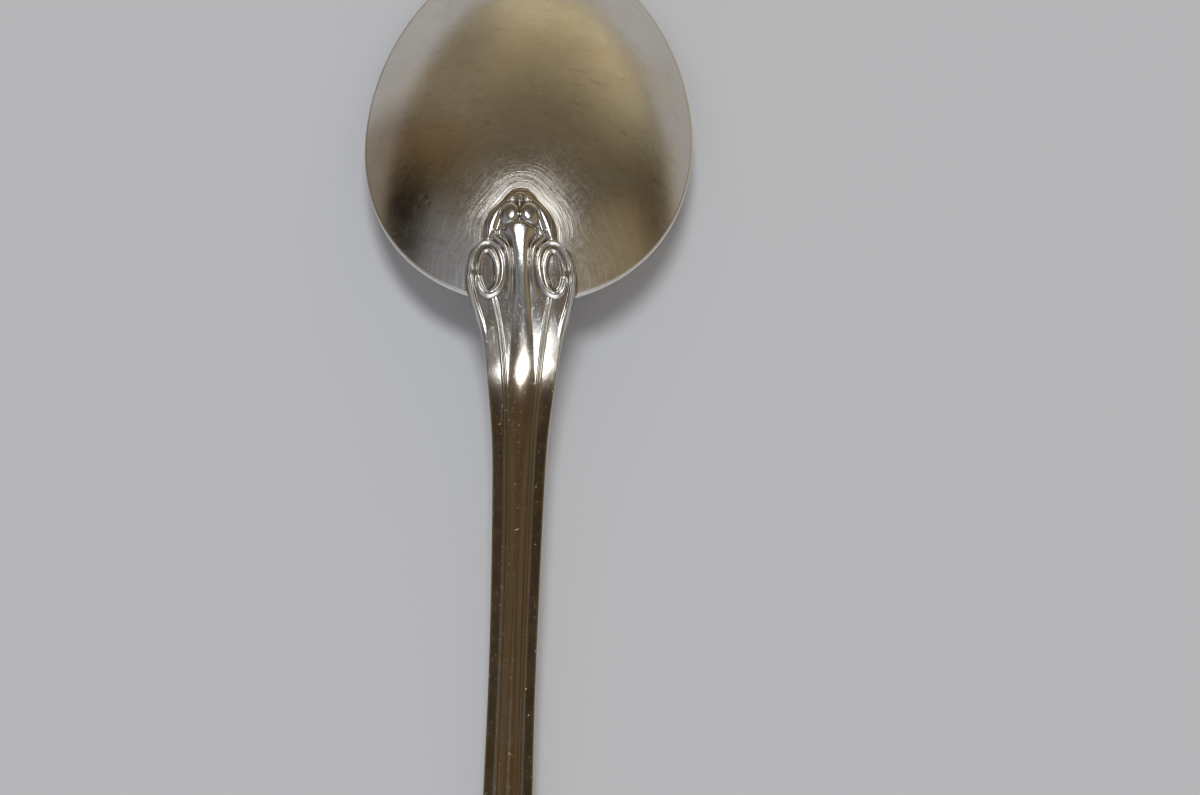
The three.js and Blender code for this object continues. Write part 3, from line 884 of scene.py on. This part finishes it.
# The room round the spoon, as the light that comes from each direction. The far side runs from
# pale tan at the horizon to dark brown overhead: each stop is the sine of an elevation and a colour.
FAR_SIDE = [
    (0.00, (0.50, 0.44, 0.32)),
    (0.20, (0.66, 0.565, 0.37)),
    (0.36, (0.47, 0.395, 0.25)),
    (0.50, (0.31, 0.255, 0.155)),
    (0.64, (0.175, 0.140, 0.088)),
    (0.78, (0.145, 0.113, 0.072)),
    (0.92, (0.080, 0.056, 0.032)),
    (1.00, (0.072, 0.050, 0.030)),
]
NEAR_SIDE = (0.25, 0.25, 0.255, 1)
SIDE_SHADE = 0.62                   # how much darker the far side is towards its ends
HAZE = (0.36, 0.34, 0.30, 1)        # at the horizon, all round
# Each glow is a direction, its half width in degrees, and its colour.
GLOWS = [
    ((-0.50, 0.82, 0.28), 27, (0.23, 0.19, 0.135)),
    ((0.93, 0.35, 0.28), 26, (0.10, 0.078, 0.050)),
    ((0.80, -0.20, 0.62), 36, (0.28, 0.225, 0.145)),
    ((-0.80, -0.30, 0.55), 42, (0.24, 0.245, 0.27)),
    ((-0.95, 0.22, 0.22), 30, (0.022, 0.018, 0.014)),
    ((0.00, -0.35, 0.94), 14, (0.12, 0.12, 0.12)),
    ((0.00, -0.94, 0.34), 38, (1.50, 1.50, 1.55)),
]


def make_room():
    world = bpy.data.worlds.new("room")
    world.use_nodes = True
    bpy.context.scene.world = world
    make = Maker(world.node_tree)
    direction = make.add("ShaderNodeTexCoord").outputs["Generated"]
    split = make.add("ShaderNodeSeparateXYZ", Vector=direction)
    x, y, z = split.outputs
    ramp = make.add("ShaderNodeValToRGB", Fac=z)
    stops = ramp.color_ramp.elements
    for number, (place, colour) in enumerate(FAR_SIDE):
        stop = stops[number] if number < 2 else stops.new(place)
        stop.position = place
        stop.color = (*colour, 1)
    shade = make.remap(make.math("ABSOLUTE", x), 0.35, 0.85, 0.0, SIDE_SHADE)
    colour = make.blend(shade, ramp.outputs[0], (0, 0, 0, 1))
    colour = make.blend(make.remap(y, -0.17, -0.56), colour, NEAR_SIDE)
    for towards, width, glow in GLOWS:
        dot = make.add("ShaderNodeVectorMath", {"operation": "DOT_PRODUCT"})
        make.set(dot.inputs[0], direction)
        make.set(dot.inputs[1], tuple(Vector(towards).normalized()))
        share = make.remap(dot.outputs["Value"], math.cos(math.radians(width)), 1.0)
        colour = make.blend(share, colour, (*glow, 1))
    colour = make.blend(make.remap(z, 0.0, 0.10, 1.0, 0.0), colour, HAZE)
    background = make.add("ShaderNodeBackground", Color=colour, Strength=1.0)
    output = make.add("ShaderNodeOutputWorld")
    make.tree.links.new(background.outputs[0], output.inputs[0])


def add_floor():
    side = 2.0
    mesh = bpy.data.meshes.new("floor")
    corners = [(-side, -side, 0), (side, -side, 0), (side, side, 0), (-side, side, 0)]
    mesh.from_pydata(corners, [], [(0, 1, 2, 3)])
    floor = bpy.data.objects.new("floor", mesh)
    floor.location.z = cad_box[0].z
    bpy.context.scene.collection.objects.link(floor)
    mesh.materials.append(floor_paint())


add_camera()
make_room()
add_floor()
heel_place = Vector((0, DATUM_Y - 40 * MM, 0.01))
lamp_place = heel_place + Vector((-0.03, -0.03, 2.5))
add_light("overhead", lamp_place, heel_place, 0.95, 0.64, 12.5, LAMP_COLOUR)
# The fill lights the floor, but isn't seen in the metal.
fill = add_light("overhead_fill", lamp_place, heel_place, 1.0, 0.7, 9.5, LAMP_COLOUR)
fill.visible_glossy = False
bpy.context.scene.view_settings.view_transform = "Standard"

for piece, node, slot, material in (
        (make_bowl(), "bowl", "bowl_plate", bowl_silver()),
        (make_handle(), "handle", "handle_plate", handle_silver()),
        (make_solder(), "solder_seam", "solder", solder_silver())):
    piece.data.materials.append(material)
    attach(piece, "root")
    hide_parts(node)
